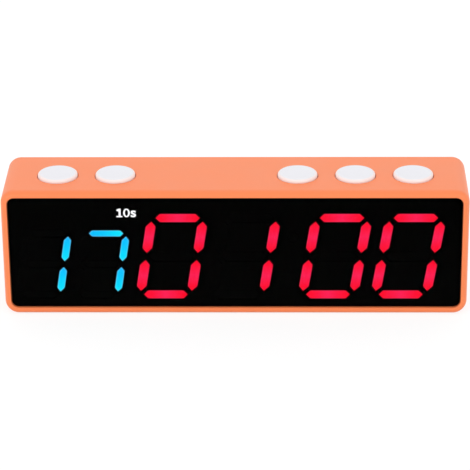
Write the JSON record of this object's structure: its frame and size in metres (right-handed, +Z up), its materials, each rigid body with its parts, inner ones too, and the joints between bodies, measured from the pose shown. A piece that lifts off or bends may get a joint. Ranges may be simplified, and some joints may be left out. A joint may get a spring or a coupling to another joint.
{
  "type": "gym interval timer",
  "caption": "Compact orange interval timer with a smoked window over slanted blue and red figures, a row of round white push buttons on top and a magnetic back.",
  "frame": {"origin": "middle of the casing's underside, in the plane that it stands on", "axes": "+X to the right as seen from the front, +Y to the back (the window faces -Y), +Z up"},
  "size_m": [0.185, 0.0364, 0.0548],
  "materials": {
    "orange_shell": "moulded orange plastic with a fine satin grain",
    "smoked_window": "clear dark smoked plastic, polished",
    "foam": "black foam",
    "mask_black": "matt black moulding",
    "blue_light": "frosted light guide lit cyan where its stroke is on",
    "red_light": "frosted light guide lit red where its stroke is on",
    "legend_white": "small plate with a white legend",
    "board_green": "green circuit board",
    "dark_plastic": "black plastic",
    "cap_white": "moulded white plastic",
    "steel": "plated steel",
    "black_steel": "black steel",
    "nickel": "nickel-plated magnet",
    "brass": "turned brass",
    "cell_sleeve": "blue film over the cell's metal can",
    "plug_white": "off-white plug",
    "ribbon_grey": "grey flat cable",
    "lead_red": "red lead",
    "lead_black": "black lead"
  },
  "bodies": {
    "casing": {"battery_cell": "cell_sleeve", "battery_lead_black": "lead_black", "battery_lead_red": "lead_red", "battery_pad": "foam", "battery_plug": "plug_white", "blue_light_guide": "blue_light", "button_board": "board_green", "button_board_screw_1": "steel", "button_board_screw_2": "steel", "button_cable": "ribbon_grey", "buzzer": "dark_plastic", "buzzer_lead_black": "lead_black", "buzzer_lead_red": "lead_red", "controller_chip": "dark_plastic", "digit_mask": "mask_black", "display_board": "board_green", "display_screw_1": "steel", "display_screw_2": "steel", "display_screw_3": "steel", "display_screw_4": "steel", "driver_chip_left": "dark_plastic", "driver_chip_right": "dark_plastic", "lead_in_legend": "legend_white", "magnet_1": "nickel", "magnet_2": "nickel", "magnet_3": "nickel", "magnet_4": "nickel", "main_case": "orange_shell", "power_board": "board_green", "power_board_screw_1": "steel", "power_board_screw_2": "steel", "power_cable": "ribbon_grey", "rear_cover": "orange_shell", "rear_screw_1": "black_steel", "rear_screw_2": "black_steel", "rear_screw_3": "black_steel", "rear_screw_4": "black_steel", "red_light_guide": "red_light", "switch_body_1": "steel", "switch_body_2": "steel", "switch_body_3": "steel", "switch_body_4": "steel", "switch_body_5": "steel", "tripod_insert": "brass", "usb_shell": "steel", "usb_tongue": "dark_plastic", "window_panel": "smoked_window", "window_tape_lower": "foam", "window_tape_upper": "foam"},
    "button_1": {"button_cap_1": "cap_white", "switch_plunger_1": "dark_plastic"},
    "button_2": {"button_cap_2": "cap_white", "switch_plunger_2": "dark_plastic"},
    "button_3": {"button_cap_3": "cap_white", "switch_plunger_3": "dark_plastic"},
    "button_4": {"button_cap_4": "cap_white", "switch_plunger_4": "dark_plastic"},
    "button_5": {"button_cap_5": "cap_white", "switch_plunger_5": "dark_plastic"}
  },
  "joints": [
    {"name": "press_1", "type": "slide", "parent": "casing", "child": "button_1", "axis": [0, 0, -1], "range_m": [0, 0.0008], "stiffness_N_per_m": 400, "springref_m": -0.0004},
    {"name": "press_2", "type": "slide", "parent": "casing", "child": "button_2", "axis": [0, 0, -1], "range_m": [0, 0.0008], "stiffness_N_per_m": 400, "springref_m": -0.0004},
    {"name": "press_3", "type": "slide", "parent": "casing", "child": "button_3", "axis": [0, 0, -1], "range_m": [0, 0.0008], "stiffness_N_per_m": 400, "springref_m": -0.0004},
    {"name": "press_4", "type": "slide", "parent": "casing", "child": "button_4", "axis": [0, 0, -1], "range_m": [0, 0.0008], "stiffness_N_per_m": 400, "springref_m": -0.0004},
    {"name": "press_5", "type": "slide", "parent": "casing", "child": "button_5", "axis": [0, 0, -1], "range_m": [0, 0.0008], "stiffness_N_per_m": 400, "springref_m": -0.0004}
  ]
}
